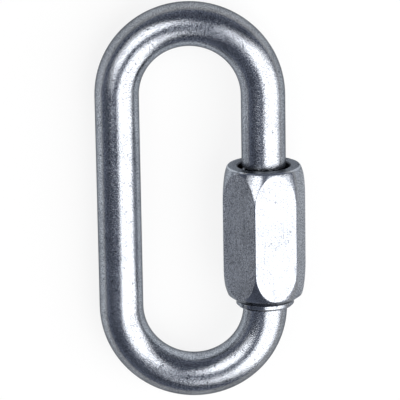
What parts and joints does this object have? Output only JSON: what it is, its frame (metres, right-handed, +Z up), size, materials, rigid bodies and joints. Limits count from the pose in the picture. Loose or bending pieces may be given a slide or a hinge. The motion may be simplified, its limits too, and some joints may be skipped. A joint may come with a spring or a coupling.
{
  "type": "chain quick link",
  "caption": "Oval chain connector of bent round bar, opened and closed by a long hexagon sleeve nut that screws along the gap in one leg.",
  "frame": {"origin": "centre of the bottom of the bounding box, on the floor that the link lies on", "axes": "+X across the link towards the leg with the nut, +Y along the link towards the end that the nut opens to, +Z up"},
  "size_m": [0.0472, 0.092, 0.0185],
  "materials": {
    "plated_bar": "satin zinc plate with a fine grain",
    "plated_nut": "bright zinc plate over turned ends and drawn flats"
  },
  "bodies": {
    "link": {"link_body": "plated_bar"},
    "nut": {"sleeve_nut": "plated_nut"}
  },
  "joints": [
    {"name": "nut_travel", "type": "slide", "parent": "link", "child": "nut", "axis": [0, 1, 0], "range_m": [0, 0.0135]}
  ]
}
